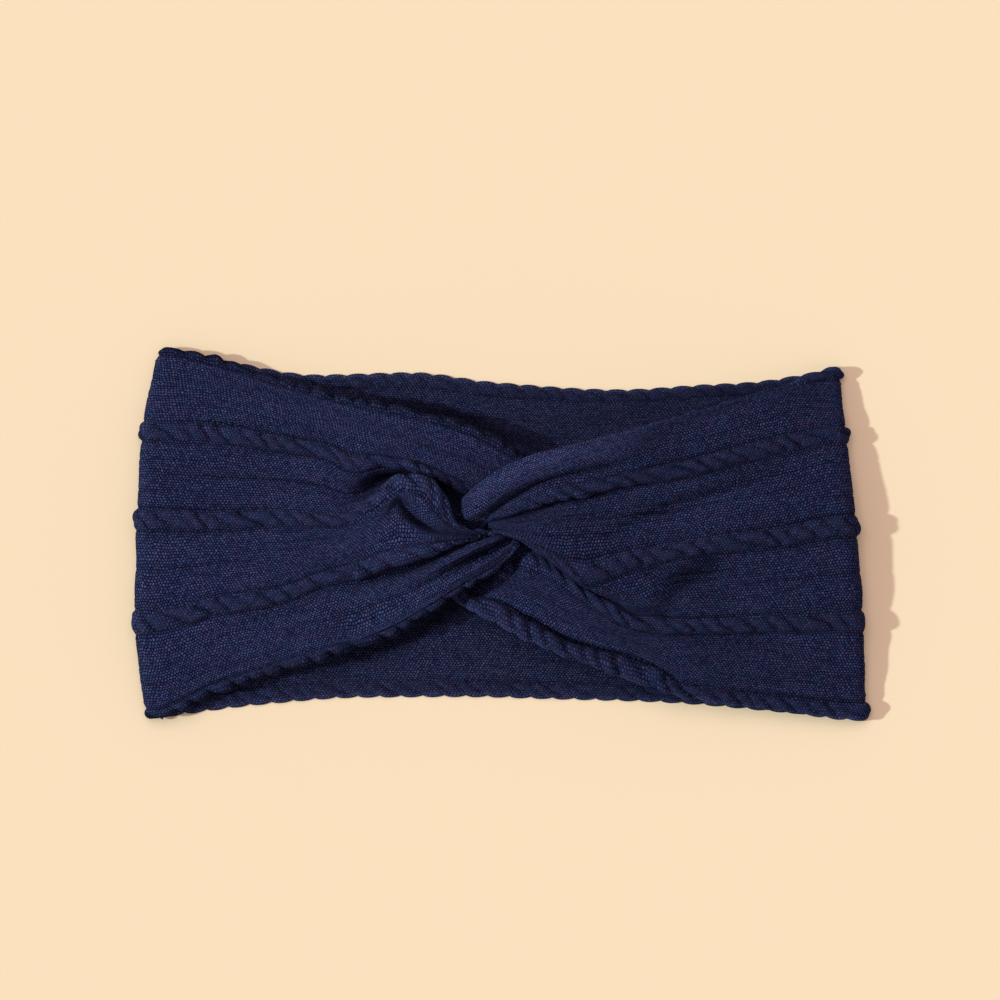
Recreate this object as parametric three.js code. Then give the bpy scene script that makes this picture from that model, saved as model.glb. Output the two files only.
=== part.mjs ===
// Knotted headband: one wide strip of cable-patterned jersey whose two ends are gathered, hooked
// through each other and joined by a hidden seam. It lies flat, front up, as it would on a table.
// Millimetres, +Z up. X runs across the flat band, Y across the strip's width, z = 0 is the table.
import * as THREE from 'three';

// ---- Driving dimensions -------------------------------------------------------------------------
const clothThickness = 1.3;
const clearance = 0.3; // left between neighbouring pieces
const cornerHeight = 7; // height of a side fold at its two ends
const middleHeight = 10.5; // and half-way down the band
const foldRun = 1; // straight cloth on each side of a fold's half circle
const wingEndLeft = -22; // where the left wing gathers into its knot loop
const wingEndRight = 24;

const armHalfHeight = 1.8; // half the thickness of the gathered cloth in the knot
const squareEndShare = 0.12; // share of a loop over which it turns square to meet its wing
const lowArm = 12.6; // height of the middle of a strand that passes below the other
const highArm = 16.6; // and of one that passes above it

const seamLength = 46; // the hidden seam: four layers of cloth sewn together behind the knot
const seamWidth = 7;
const seamThickness = 2.2;
const seamBottom = 7.2;
const seamX = 1;
const seamY = 1;
const threadDiameter = 0.6;
const threadPitch = 3.2;

// Outlines seen from above, as [x, y] points that smooth curves pass through.
const leftRim = [[-104.6, 57.6], [-108.4, 43], [-111.6, 24], [-112.8, 3], [-113.8, -24], [-112, -42], [-109, -57.6]];
const rightRim = [[105.6, 51.2], [106.8, 38], [108.9, 20], [111, 2], [112.6, -20], [113.4, -38], [113.8, -57.6]];
const backTop = [[-104, 57.6], [-83, 53.7], [-57, 49], [-27, 49.8], [0, 46.8], [37, 44.6], [63, 46], [105, 51.2]];
const backBottom = [[-109, -57.6], [-73, -52.4], [-43, -50.3], [-12, -50.3], [17, -51], [48, -52], [93, -55.6], [113, -57.6]];

// Lines that run along the cloth from a side fold to the knot, as [x, y, z] points on its upper face.
// A wing is the smooth sheet through its lines.
const leftWingLines = [
  [[-88, 53.7, 8], [-68, 47.5, 9], [-53, 43.7, 10.5], [-35, 40.3, 12], [wingEndLeft, 37.4, 13]],
  [[-88, 41.8, 9.2], [-68, 37.4, 10], [-53, 34.6, 11.4], [-35, 31.6, 13.2], [wingEndLeft, 28.5, 14]],
  [[-86, 30.7, 9.8], [-67, 27.6, 10.3], [-52, 25.2, 10.8], [-35, 23, 12], [wingEndLeft, 20.4, 12.6]],
  [[-84, 17.5, 10], [-66, 16, 10], [-49, 14.5, 9.4], [-38, 17, 8.8], [wingEndLeft - 1, 18.6, 8.6]],
  [[-82, 4.3, 10.6], [-66, 5, 10.8], [-48, 5, 12], [-36, 13.4, 15.4], [wingEndLeft, 15.6, 17]],
  [[-82, -8.5, 10.6], [-66, -7, 11], [-48, -3.4, 12.6], [-35, 0.4, 15.8], [wingEndLeft, 3.4, 17.2]],
  [[-80, -21.1, 10.2], [-64, -18, 10.6], [-46, -11.2, 12], [-34, -8, 14.4], [wingEndLeft, -4.6, 16]],
  [[-80, -34, 9.4], [-64, -30, 9.8], [-48, -24.6, 11], [-34, -20, 14.2], [wingEndLeft, -15, 16.4]],
  [[-80, -46.5, 7.8], [-65, -41.9, 8.6], [-50, -37.5, 10], [-34, -32.7, 13.4], [wingEndLeft, -25.6, 15.6]],
];
const rightWingLines = [
  [[78, 42.2, 8.4], [55, 36.3, 10.6], [40, 32.2, 13.2], [wingEndRight, 28, 15.6]],
  [[78, 34, 9.6], [55, 29, 11.8], [40, 25.2, 14.6], [wingEndRight, 20.6, 17.6]],
  [[78, 25.7, 10], [56, 19.8, 12], [40, 16.6, 14.2], [wingEndRight, 13, 16.8]],
  [[74, 11.4, 10.6], [56, 7.6, 12.4], [40, 4.4, 14.8], [wingEndRight, 1.6, 17.8]],
  [[70, -2.8, 10.8], [55, -5, 12.2], [40, -8.4, 14.4], [wingEndRight, -12.6, 17]],
  [[74, -16, 10.2], [57, -17.6, 11], [42, -20, 12.2], [wingEndRight, -17.4, 13.8]],
  [[78, -27, 10], [58, -29, 10.4], [42, -27.6, 11.8], [wingEndRight, -22.6, 13.4]],
  [[78, -39.6, 9.2], [58, -39.4, 9.8], [42, -36.4, 11.4], [wingEndRight, -31, 13.4]],
  [[78, -51.4, 8], [60, -49.4, 8.8], [42, -44.4, 10.6], [wingEndRight, -38.4, 12.6]],
];

// The knot loops: middle line of the gathered cloth, [x, y, z, half width].
const leftLoopStations = [
  [wingEndLeft + clearance, 28.6, lowArm, 9], [-10, 25.4, lowArm, 8.6], [1, 21, lowArm, 7.4],
  [10, 14, lowArm, 7], [13.4, 5.4, lowArm, 6.8], [10, -3, lowArm, 5.6], [2.4, -7, 14.3, 4.8],
  [-5.6, -8.8, highArm + 0.3, 6.6], [-13, -8.4, highArm + 0.2, 11], [wingEndLeft + clearance, -5.4, highArm, 20],
];
const rightLoopStations = [
  [wingEndRight - clearance, 7.4, highArm + 0.3, 20], [11, 9.2, highArm + 0.4, 12.4], [-1, 10, highArm + 0.2, 7.4],
  [-7.4, 6.8, 14.4, 5.8], [-10.4, 0, lowArm, 5.6], [-9.4, -9, lowArm - 0.1, 5.6], [-3, -17, lowArm - 0.1, 6.4],
  [9, -22.6, lowArm - 0.1, 8.2], [wingEndRight - clearance, -27.8, lowArm - 0.2, 11],
];

// Fineness of the faceting.
const stepsDownSide = 16;
const stepsRoundFold = 10;
const stepsAlongBack = 18;
const stepsAlongWing = 16;
const stepsAcrossWing = 28;
const stepsAlongLoop = 34;
const sidesOfLoop = 16;
const sidesOfThread = 6;
const stepsPerTurn = 12;

// ---- Shape helpers ------------------------------------------------------------------------------
// A point at the share 0 to 1 of a smooth curve through the given points.
function pointOn(points, share) {
  const curve = new THREE.CatmullRomCurve3(points.map(([x, y, z = 0]) => new THREE.Vector3(x, y, z)));
  return curve.getPoint(share);
}

// Closes two matching grids of points, one on each face of a cloth, into one solid.
function closeFaces(outer, inner) {
  const rows = outer.length;
  const columns = outer[0].length;
  const points = [...outer.flat(), ...inner.flat()];
  const innerStart = rows * columns;
  const index = [];
  const quad = (a, b, c, d) => index.push(a, b, c, a, c, d);
  for (let r = 0; r < rows - 1; r += 1) {
    for (let c = 0; c < columns - 1; c += 1) {
      const a = r * columns + c;
      quad(a, a + 1, a + columns + 1, a + columns);
      quad(innerStart + a, innerStart + a + columns, innerStart + a + columns + 1, innerStart + a + 1);
    }
  }
  for (let c = 0; c < columns - 1; c += 1) {
    const last = (rows - 1) * columns + c;
    quad(c, innerStart + c, innerStart + c + 1, c + 1);
    quad(last, last + 1, innerStart + last + 1, innerStart + last);
  }
  for (let r = 0; r < rows - 1; r += 1) {
    const a = r * columns;
    const b = a + columns - 1;
    quad(a, a + columns, innerStart + a + columns, innerStart + a);
    quad(b, innerStart + b, innerStart + b + columns, b + columns);
  }
  return solidFrom(points, index);
}

// Makes the geometry, turned the right way out whichever way the grid ran.
function solidFrom(points, index) {
  let volume = 0;
  for (let i = 0; i < index.length; i += 3) {
    volume += points[index[i]].dot(points[index[i + 1]].clone().cross(points[index[i + 2]]));
  }
  if (volume < 0) {
    index.reverse();
  }
  const geometry = new THREE.BufferGeometry().setFromPoints(points);
  geometry.setIndex(index);
  geometry.computeVertexNormals();
  return geometry;
}

// The underside of a sheet: each point moved by the cloth's thickness straight into the cloth.
function underside(top) {
  const last = (list) => list.length - 1;
  return top.map((row, r) => row.map((point, c) => {
    const alongRow = row[Math.min(c + 1, last(row))].clone().sub(row[Math.max(c - 1, 0)]);
    const acrossRows = top[Math.min(r + 1, last(top))][c].clone().sub(top[Math.max(r - 1, 0)][c]);
    const normal = alongRow.cross(acrossRows);
    if (r === last(top)) {
      normal.setX(0); // the end next to the knot is cut square
    }
    normal.normalize();
    const inward = clothThickness * -Math.sign(normal.z);
    return point.clone().addScaledVector(normal, inward);
  }));
}

// A side rim's point and the fold's height there, at a share 0 to 1 down the band.
function foldAt(rim, share) {
  const point = pointOn(rim, share);
  const height = cornerHeight + (middleHeight - cornerHeight) * Math.sin(Math.PI * share);
  const side = Math.sign(rim[0][0]);
  const joinX = point.x - side * (height / 2 + foldRun);
  return { x: point.x, y: point.y, height, side, joinX };
}

// ---- The cloth's parts --------------------------------------------------------------------------
// A half-round fold where the strip turns from the back to the front.
function sideFold(rim) {
  const outer = [];
  const inner = [];
  for (let r = 0; r <= stepsDownSide; r += 1) {
    const fold = foldAt(rim, r / stepsDownSide);
    const radius = fold.height / 2;
    const centreX = fold.x - fold.side * radius;
    const section = (sectionRadius) => {
      const points = [new THREE.Vector3(fold.joinX, fold.y, radius - sectionRadius)];
      for (let c = 0; c <= stepsRoundFold; c += 1) {
        const turn = -Math.PI / 2 + (Math.PI * c) / stepsRoundFold;
        const x = centreX + fold.side * sectionRadius * Math.cos(turn);
        points.push(new THREE.Vector3(x, fold.y, radius + sectionRadius * Math.sin(turn)));
      }
      points.push(new THREE.Vector3(fold.joinX, fold.y, radius + sectionRadius));
      return points;
    };
    outer.push(section(radius));
    inner.push(section(radius - clothThickness));
  }
  return closeFaces(outer, inner);
}

// The back of the loop, flat on the table between the two side folds.
function backPanel() {
  const bottom = [];
  const between = (first, second, share) => first + (second - first) * share;
  for (let s = 0; s <= stepsAlongBack; s += 1) {
    const along = s / stepsAlongBack;
    const topY = pointOn(backTop, along).y;
    const bottomY = pointOn(backBottom, along).y;
    const rimY = (share) => between(pointOn(leftRim, share).y, pointOn(rightRim, share).y, along);
    const row = [];
    for (let t = 0; t <= stepsDownSide; t += 1) {
      const down = t / stepsDownSide;
      const left = foldAt(leftRim, down).joinX + clearance;
      const right = foldAt(rightRim, down).joinX - clearance;
      const share = (rimY(down) - rimY(0)) / (rimY(1) - rimY(0));
      row.push(new THREE.Vector3(between(left, right, along), between(topY, bottomY, share), 0));
    }
    bottom.push(row);
  }
  const top = bottom.map((row) => row.map((point) => point.clone().setZ(clothThickness)));
  return closeFaces(top, bottom);
}

// Half of the front: the cloth from a side fold to where it gathers into the knot.
function wing(rim, lines) {
  const linesFromRim = lines.map((line, number) => {
    const fold = foldAt(rim, number / (lines.length - 1));
    return [[fold.joinX - fold.side * clearance, fold.y, fold.height], ...line];
  });
  const top = [];
  for (let s = 0; s <= stepsAlongWing; s += 1) {
    const across = linesFromRim.map((line) => pointOn(line, s / stepsAlongWing).toArray());
    const row = [];
    for (let t = 0; t <= stepsAcrossWing; t += 1) {
      row.push(pointOn(across, t / stepsAcrossWing));
    }
    top.push(row);
  }
  return closeFaces(top, underside(top));
}

// A bight of gathered cloth: a flattened round section carried along the loop's middle line.
function knotLoop(stations) {
  const path = new THREE.CatmullRomCurve3(stations.map(([x, y, z]) => new THREE.Vector3(x, y, z)));
  const widths = new THREE.CatmullRomCurve3(stations.map(([, , , half]) => new THREE.Vector3(half, 0, 0)));
  const points = [];
  const index = [];
  for (let s = 0; s <= stepsAlongLoop; s += 1) {
    const share = s / stepsAlongLoop;
    const middle = path.getPoint(share);
    const tangent = path.getTangent(share);
    const across = new THREE.Vector3(-tangent.y, tangent.x, 0).normalize();
    const nearEnd = Math.max(0, 1 - Math.min(share, 1 - share) / squareEndShare);
    across.lerp(new THREE.Vector3(0, Math.sign(across.y), 0), nearEnd ** 0.5).normalize();
    const halfWidth = widths.getPoint(share).x;
    for (let k = 0; k < sidesOfLoop; k += 1) {
      const turn = (2 * Math.PI * k) / sidesOfLoop;
      const sideways = Math.sign(Math.cos(turn)) * Math.abs(Math.cos(turn)) ** 0.7 * halfWidth;
      const upwards = Math.sign(Math.sin(turn)) * Math.abs(Math.sin(turn)) ** 0.7 * armHalfHeight;
      points.push(middle.clone().addScaledVector(across, sideways).add(new THREE.Vector3(0, 0, upwards)));
    }
  }
  const ring = (s, k) => s * sidesOfLoop + (k % sidesOfLoop);
  for (let s = 0; s < stepsAlongLoop; s += 1) {
    for (let k = 0; k < sidesOfLoop; k += 1) {
      index.push(ring(s, k), ring(s + 1, k), ring(s + 1, k + 1));
      index.push(ring(s, k), ring(s + 1, k + 1), ring(s, k + 1));
    }
  }
  for (let k = 1; k < sidesOfLoop - 1; k += 1) {
    index.push(ring(0, 0), ring(0, k), ring(0, k + 1));
    index.push(ring(stepsAlongLoop, 0), ring(stepsAlongLoop, k + 1), ring(stepsAlongLoop, k));
  }
  return solidFrom(points, index);
}

// The four sewn layers that lie flat behind the knot.
function seamAllowance() {
  const geometry = new THREE.BoxGeometry(seamWidth, seamLength, seamThickness);
  geometry.translate(seamX, seamY, seamBottom + seamThickness / 2);
  return geometry;
}

// The overlock thread, wound along the seam allowance from end to end.
function seamThread() {
  const reach = clearance + threadDiameter / 2;
  const halfWide = seamWidth / 2 + reach;
  const halfHigh = seamThickness / 2 + reach;
  const turns = Math.floor((seamLength - 2) / threadPitch);
  const turnPoints = [];
  for (let k = 0; k <= turns * 4; k += 1) {
    const corner = k % 4;
    const x = corner === 0 || corner === 3 ? -halfWide : halfWide;
    const z = corner < 2 ? -halfHigh : halfHigh;
    const y = -((turns * threadPitch) / 2) + (k / 4) * threadPitch;
    turnPoints.push(new THREE.Vector3(seamX + x, seamY + y, seamBottom + seamThickness / 2 + z));
  }
  const path = new THREE.CatmullRomCurve3(turnPoints, false, 'catmullrom', 0);
  const section = new THREE.Shape();
  section.absarc(0, 0, threadDiameter / 2, 0, 2 * Math.PI, false);
  return new THREE.ExtrudeGeometry(section, {
    steps: turns * stepsPerTurn,
    curveSegments: sidesOfThread / 2,
    bevelEnabled: false,
    extrudePath: path,
  });
}

// ---- The assembly -------------------------------------------------------------------------------
const jersey = new THREE.MeshStandardMaterial({ color: '#1f2240', roughness: 0.95, metalness: 0 });
const insideJersey = new THREE.MeshStandardMaterial({ color: '#1c1f3a', roughness: 0.95, metalness: 0 });
const thread = new THREE.MeshStandardMaterial({ color: '#262a4c', roughness: 0.8, metalness: 0 });

const group = new THREE.Group();
function addPiece(name, geometry, material) {
  const mesh = new THREE.Mesh(geometry, material);
  mesh.name = name;
  group.add(mesh);
}

addPiece('back_panel', backPanel(), insideJersey);
addPiece('left_side_fold', sideFold(leftRim), jersey);
addPiece('right_side_fold', sideFold(rightRim), jersey);
addPiece('left_wing', wing(leftRim, leftWingLines), jersey);
addPiece('right_wing', wing(rightRim, rightWingLines), jersey);
addPiece('left_knot_loop', knotLoop(leftLoopStations), jersey);
addPiece('right_knot_loop', knotLoop(rightLoopStations), jersey);
addPiece('knot_seam_allowance', seamAllowance(), insideJersey);
addPiece('knot_seam_thread', seamThread(), thread);

export default group;
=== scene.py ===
import math

import bmesh
import bpy
import numpy as np
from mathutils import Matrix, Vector


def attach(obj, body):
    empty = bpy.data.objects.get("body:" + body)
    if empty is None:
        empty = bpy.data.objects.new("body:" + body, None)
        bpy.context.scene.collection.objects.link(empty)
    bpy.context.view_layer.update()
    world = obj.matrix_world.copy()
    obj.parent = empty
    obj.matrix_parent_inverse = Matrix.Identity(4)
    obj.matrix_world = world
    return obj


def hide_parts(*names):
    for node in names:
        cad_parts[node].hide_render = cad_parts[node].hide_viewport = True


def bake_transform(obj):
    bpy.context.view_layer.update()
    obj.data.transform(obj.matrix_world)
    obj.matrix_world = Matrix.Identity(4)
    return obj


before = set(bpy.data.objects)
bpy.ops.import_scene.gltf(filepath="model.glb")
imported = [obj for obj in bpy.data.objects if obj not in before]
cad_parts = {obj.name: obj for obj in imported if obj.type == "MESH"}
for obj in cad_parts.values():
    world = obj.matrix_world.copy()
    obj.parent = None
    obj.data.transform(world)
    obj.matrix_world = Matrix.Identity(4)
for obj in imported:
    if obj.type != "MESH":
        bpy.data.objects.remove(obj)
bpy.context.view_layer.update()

mm = 0.001

# The knit itself. Lengths in millimetres of cloth: u runs along the strip, v across it from its upper edge.
knit = {
    "width": 115.0,
    "thickness": 1.2,
    "cables": [2.8, 30.5, 57.5, 85.0, 112.2],  # middle of each cable column
    "cableHalfWidth": 2.8,
    "cableHeight": 1.9,
    "cableSpread": 0.55,  # below 1 the cables are flat on top, and steep at their sides
    "lumpShade": 0.85,  # how much painted shade darkens the gaps between twists
    "lumpPitch": 6.7,  # length of one twist of a cable
    "lumpSlant": 0.36,  # how far a lump leans across its cable, in twists
    "braid": 0.24,  # how deep the second strand cuts into each lump
    "sway": 0.24,  # how far the twists of a cable stray to either side
    "groovePlace": 3.4,  # distance of the grooves from the middle of a cable
    "grooveWidth": 0.55,
    "grooveDepth": 0.5,
    "ribs": [4.9, 6.6, 8.7, 11.2, 13.6],  # distances of the fine rib lines from the middle of a cable
    "ribWidth": 0.33,
    "ribDepth": 0.3,
    # how much painted shade the fine rib lines get
    "ribShade": 0.42,
    "beadPlace": 8.3,  # distance of a narrow bead from each edge of the strip
    "beadWidth": 0.45,
    "beadHeight": 0.35,
    "beadHighlight": 0.25,
    "selvedgePlace": 0.6,  # the same for the painted highlight line along each edge
    "selvedgeWidth": 0.8,
    "selvedgeHighlight": 1.3,
    "edgeRound": 0.9,  # how far in from its edges the cloth thins to a rounded edge
    "scallop": 0.8,  # how far each lump pushes the strip's edge out
    "scallopReach": 2.6,
    "edgeBoost": 1.1,  # how many times higher the lower edge's cable is on the right half
    "stitchWide": 0.775,
    "stitchLong": 0.975,
}


# Smooth curve through values at knots that never swings past them; each value may have several columns.
def smoothThrough(knots, values, at):
    knots = np.asarray(knots, float)
    values = np.asarray(values, float).reshape(len(knots), -1)
    step = np.diff(knots)[:, None]
    slope = np.diff(values, axis=0) / step
    tangent = np.zeros_like(values)
    tangent[0], tangent[-1] = slope[0], slope[-1]
    product = slope[:-1] * slope[1:]
    total = slope[:-1] + slope[1:]
    safeTotal = np.where(np.abs(total) > 1e-12, total, 1.0)
    tangent[1:-1] = np.where(product > 0, 2 * product / safeTotal, 0.0)
    at = np.clip(np.asarray(at, float), knots[0], knots[-1])
    span = np.clip(np.searchsorted(knots, at, side="right") - 1, 0, len(knots) - 2)
    width = step[span]
    t = ((at - knots[span])[:, None]) / width
    h00 = (1 + 2 * t) * (1 - t) ** 2
    h10 = t * (1 - t) ** 2
    h01 = t * t * (3 - 2 * t)
    h11 = t * t * (t - 1)
    return (
        h00 * values[span]
        + h10 * width * tangent[span]
        + h01 * values[span + 1]
        + h11 * width * tangent[span + 1]
    )


def runLengths(points):
    steps = np.linalg.norm(np.diff(points, axis=0), axis=1)
    return np.concatenate([[0.0], np.cumsum(steps)])


# Unit normals of a grid of points [along, across, xyz].
def gridNormals(grid):
    alongStep = np.gradient(grid, axis=0)
    acrossStep = np.gradient(grid, axis=1)
    normal = np.cross(alongStep, acrossStep)
    return normal / np.maximum(np.linalg.norm(normal, axis=2, keepdims=True), 1e-9)


# 1 at a line or point, and falling smoothly to nothing a few half widths away from it.
def bell(distance, halfWidth):
    return np.exp(-((distance / halfWidth) ** 2))


# Rounded top of each twist of a cable, 0 between twists and 1 on them.
def twistHeight(phase):
    share = np.mod(phase, 1.0) ** 0.85
    return np.sin(math.pi * share) ** 0.65


# Height of the cables, grooves and ribs above plain knit, the painted shade in the knit's crevices at each
# point (below 0 for the painted highlights on the beads and selvedges), and how far up a cable's twist it is.
# lean is 1 or -1: u runs the other way on the right half, while every cable is twisted the same way.
def knitRelief(u, v, lean):
    height = np.zeros_like(u)
    crease = np.zeros_like(u)
    top = np.zeros_like(u)
    for number, centre in enumerate(knit["cables"]):
        boost = knit["edgeBoost"] if number == 4 and lean < 0 else 1.0
        sway = np.sin(math.pi * u / knit["lumpPitch"] + 2 * number) + 0.8 * np.sin(u / 2.9 + number)
        across = (v - centre - knit["sway"] * sway) / knit["cableHalfWidth"]
        body = np.clip(1 - across**2, 0, 1)
        bend = 0.5 * np.sin(math.pi * np.clip(across, -1, 1))
        drift = 0.26 * np.sin(u / 9.7 + 2.1 * number) + 0.18 * np.sin(u / 3.9 + 5 * number)
        slanted = lean * knit["lumpSlant"] * (across + 0.4 * bend)
        phase = u / knit["lumpPitch"] - slanted + 0.37 * number + drift
        underPhase = u / knit["lumpPitch"] + lean * 0.3 * across + 0.5 + 0.37 * number + 1.6 * drift
        crossing = 1 - twistHeight(underPhase)
        twist = twistHeight(phase) * (1 - knit["braid"] * crossing)
        uneven = 0.6 + 0.65 * np.mod(np.floor(phase) * 0.618 + 0.3 * number, 1.0)
        height += knit["cableHeight"] * boost * uneven * body ** knit["cableSpread"] * (0.2 + 0.8 * twist)
        # painted shade in the gaps between twists
        crease += knit["lumpShade"] * uneven * np.clip(body * 3, 0, 1) * (1 - twist) ** 1.6
        top += np.clip(body * 2, 0, 1) * twist
        beside = np.abs(v - centre)
        groove = bell(beside - knit["groovePlace"], knit["grooveWidth"])
        height -= knit["grooveDepth"] * groove
        # painted shade down in the grooves
        crease += (0.5 + 0.25 * np.sin(u / 13 + 3 * number)) * groove
        for rank, distance in enumerate(knit["ribs"]):
            for sign in (-1, 1):
                fade = 0.5 + 0.5 * np.sin(u / (9 + 3 * rank) + 1.9 * rank + 2.3 * number + sign)
                rib = bell(sign * (v - centre) - distance, knit["ribWidth"]) * fade
                height -= knit["ribDepth"] * rib
                crease += knit["ribShade"] * rib
    # painted highlights along the beads and the selvedges
    for place in (knit["beadPlace"], knit["width"] - knit["beadPlace"]):
        bead = bell(v - place, knit["beadWidth"])
        height += knit["beadHeight"] * bead
        crease -= knit["beadHighlight"] * bead
    for place in (knit["selvedgePlace"], knit["width"] - knit["selvedgePlace"]):
        crease -= knit["selvedgeHighlight"] * bell(v - place, knit["selvedgeWidth"])
    return height, np.clip(crease, -1, 1), np.clip(top, 0, 1)


# How far the strip's two edges are pushed out by the twists of their cables.
def edgeScallop(u, v):
    twist = twistHeight(u / knit["lumpPitch"]) - 0.6
    nearUpper = bell(v, knit["scallopReach"])
    nearLower = bell(knit["width"] - v, knit["scallopReach"])
    return knit["scallop"] * twist * (nearLower - nearUpper)


# How thick the cloth is towards its edges, as a share: 0 at an edge, and 1 from a little way in.
def roundedEdge(v):
    nearEdge = np.minimum(v, knit["width"] - v)
    return np.sqrt(np.clip(1 - (1 - np.clip(nearEdge / knit["edgeRound"], 0, 1)) ** 2, 0, 1))


# Places across the strip, closer together on the cables than on the plain knit between them.
def acrossPlaces(count):
    fine = np.linspace(0, knit["width"], 2000)
    density = np.ones_like(fine)
    for centre in knit["cables"]:
        density += 0.9 * (np.abs(fine - centre) < 4.2)
    total = np.cumsum(density) - density[0]
    return np.interp(np.linspace(0, total[-1], count), total, fine)


# Slow uneven waves that loose cloth always has, from a few seeded sine waves.
def looseWaves(u, v, seed, depth):
    random = np.random.default_rng(seed)
    waves = np.zeros_like(u)
    for _ in range(10):
        lengthU = random.uniform(26, 70)
        lengthV = random.uniform(9, 26)
        phase = random.uniform(0, 2 * math.pi)
        waves += np.sin(2 * math.pi * (u / lengthU + random.choice([-1, 1]) * v / lengthV) + phase)
    return depth * waves / math.sqrt(10)


# A closed cloth: outer and inner face points on a grid, with u and v kept as its UV map in decimetres.
# marks are the painted shade at each point of the outer face (below 0 a painted highlight), and how high on a
# cable it lies.
def clothPiece(name, outer, inner, u, v, marks, material):
    alongCount, acrossCount = outer.shape[:2]
    bm = bmesh.new()
    bmesh.ops.create_grid(bm, x_segments=alongCount - 1, y_segments=acrossCount - 1, size=1.0)
    bmesh.ops.solidify(bm, geom=bm.faces[:], thickness=0.01)
    mesh = meshFrom(bm, name)
    flat = np.empty(len(mesh.vertices) * 3)
    mesh.vertices.foreach_get("co", flat)
    flat = flat.reshape(-1, 3)
    row = np.clip(np.rint((flat[:, 0] + 1) / 2 * (alongCount - 1)), 0, alongCount - 1).astype(int)
    column = np.clip(np.rint((flat[:, 1] + 1) / 2 * (acrossCount - 1)), 0, acrossCount - 1).astype(int)
    isInner = np.abs(flat[:, 2]) > 0.005
    place = np.where(isInner[:, None], inner[row, column], outer[row, column]) * mm
    mesh.vertices.foreach_set("co", place.ravel())
    corner = np.empty(len(mesh.loops), int)
    mesh.loops.foreach_get("vertex_index", corner)
    layer = mesh.uv_layers.new(name="cloth")
    uv = np.stack([u[row, column], v[row, column]], axis=1)[corner] / 100
    layer.data.foreach_set("uv", uv.ravel())
    for markName, mark in zip(("crease", "cable"), marks):
        strength = np.where(isInner, 0.4, 1.0) * mark[row, column]
        mesh.attributes.new(markName, "FLOAT", "POINT").data.foreach_set("value", strength)
    return finishMesh(name, mesh, material)


def addObject(name, data):
    thing = bpy.data.objects.new(name, data)
    bpy.context.scene.collection.objects.link(thing)
    return thing


def meshFrom(bm, name):
    mesh = bpy.data.meshes.new(name)
    bm.to_mesh(mesh)
    bm.free()
    return mesh


# Turns a mesh the right way out and makes it an object of the scene.
def finishMesh(name, mesh, material):
    bm = bmesh.new()
    bm.from_mesh(mesh)
    if bm.calc_volume(signed=True) < 0:
        bmesh.ops.reverse_faces(bm, faces=bm.faces[:])
    bm.to_mesh(mesh)
    bm.free()
    mesh.polygons.foreach_set("use_smooth", np.ones(len(mesh.polygons), bool))
    mesh.materials.append(material)
    return addObject(name, mesh)


# A closed tube along a path: section(angle, share) gives the offsets sideways and upwards in millimetres.
def tubePiece(name, path, section, sides, steps, material):
    bm = bmesh.new()
    bmesh.ops.create_cone(bm, cap_ends=True, segments=sides, radius1=1.0, radius2=1.0, depth=2.0)
    long = [e for e in bm.edges if abs(e.verts[0].co.z - e.verts[1].co.z) > 1]
    bmesh.ops.subdivide_edges(bm, edges=long, cuts=steps - 1)
    uvLayer = bm.loops.layers.uv.new("cloth")
    stations = np.linspace(0, 1, steps + 1)
    knots = runLengths(np.asarray(path, float))
    middle = smoothThrough(knots / knots[-1], path, stations)
    tangent = np.gradient(middle, axis=0)
    tangent /= np.linalg.norm(tangent, axis=1, keepdims=True)
    along = runLengths(middle)
    stationOf = {}
    for vert in bm.verts:
        station = round((vert.co.z + 1) / 2 * steps)
        angle = math.atan2(vert.co.y, vert.co.x)
        stationOf[vert] = (station, angle)
    for face in bm.faces:
        angles = [stationOf[vert][1] for vert in face.verts]
        overSeam = max(angles) - min(angles) > math.pi
        for loop in face.loops:
            station, angle = stationOf[loop.vert]
            turn = angle + 2 * math.pi if overSeam and angle < 0 else angle
            loop[uvLayer].uv = (along[station] / 100, turn * 4 / 100)
    for vert, (station, angle) in stationOf.items():
        forward = Vector(tangent[station])
        sideways = Vector((-forward.y, forward.x, 0)).normalized()
        upwards = forward.cross(sideways).normalized()
        out, up = section(angle, station / steps)
        vert.co = (Vector(middle[station]) + sideways * out + upwards * up) * mm
    return finishMesh(name, meshFrom(bm, name), material)


# Three numbers are a colour, which a socket needs with its opacity.
def opaque(value):
    return (*value, 1) if isinstance(value, tuple) else value


# A new node group; an input with no value is a vector, and one with three numbers is a colour.
def newGroup(name, inputs, outputs):
    group = bpy.data.node_groups.new(name, "ShaderNodeTree")
    kinds = {type(None): "NodeSocketVector", tuple: "NodeSocketColor", float: "NodeSocketFloat"}
    for socketName, value in inputs.items():
        kind = kinds[type(value)]
        socket = group.interface.new_socket(socketName, in_out="INPUT", socket_type=kind)
        if value is not None:
            socket.default_value = opaque(value)
    for socketName, kind in outputs.items():
        group.interface.new_socket(socketName, in_out="OUTPUT", socket_type=kind)
    source = group.nodes.new("NodeGroupInput")
    result = group.nodes.new("NodeGroupOutput")
    return group, source.outputs, result.inputs


# A new node with its settings made and its inputs fed: a socket is linked, and a plain value is set.
def addNode(tree, kind, inputs, **settings):
    node = tree.nodes.new(kind)
    for setting, value in settings.items():
        setattr(node, setting, value)
    for socket, value in inputs.items():
        if isinstance(value, bpy.types.NodeSocket):
            tree.links.new(value, node.inputs[socket])
        else:
            node.inputs[socket].default_value = value
    return node.outputs


def calc(tree, operation, *terms):
    return addNode(tree, "ShaderNodeMath", dict(enumerate(terms)), operation=operation)[0]


def noiseOn(tree, vector, scale, detail):
    return addNode(tree, "ShaderNodeTexNoise", {"Vector": vector, "Scale": scale, "Detail": detail})


def mix(tree, kind, factor, first, second, blend="MIX"):
    inputs = {"Factor": factor, "A": first, "B": second}
    return addNode(tree, "ShaderNodeMix", inputs, data_type=kind, blend_type=blend)["Result"]


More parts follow.
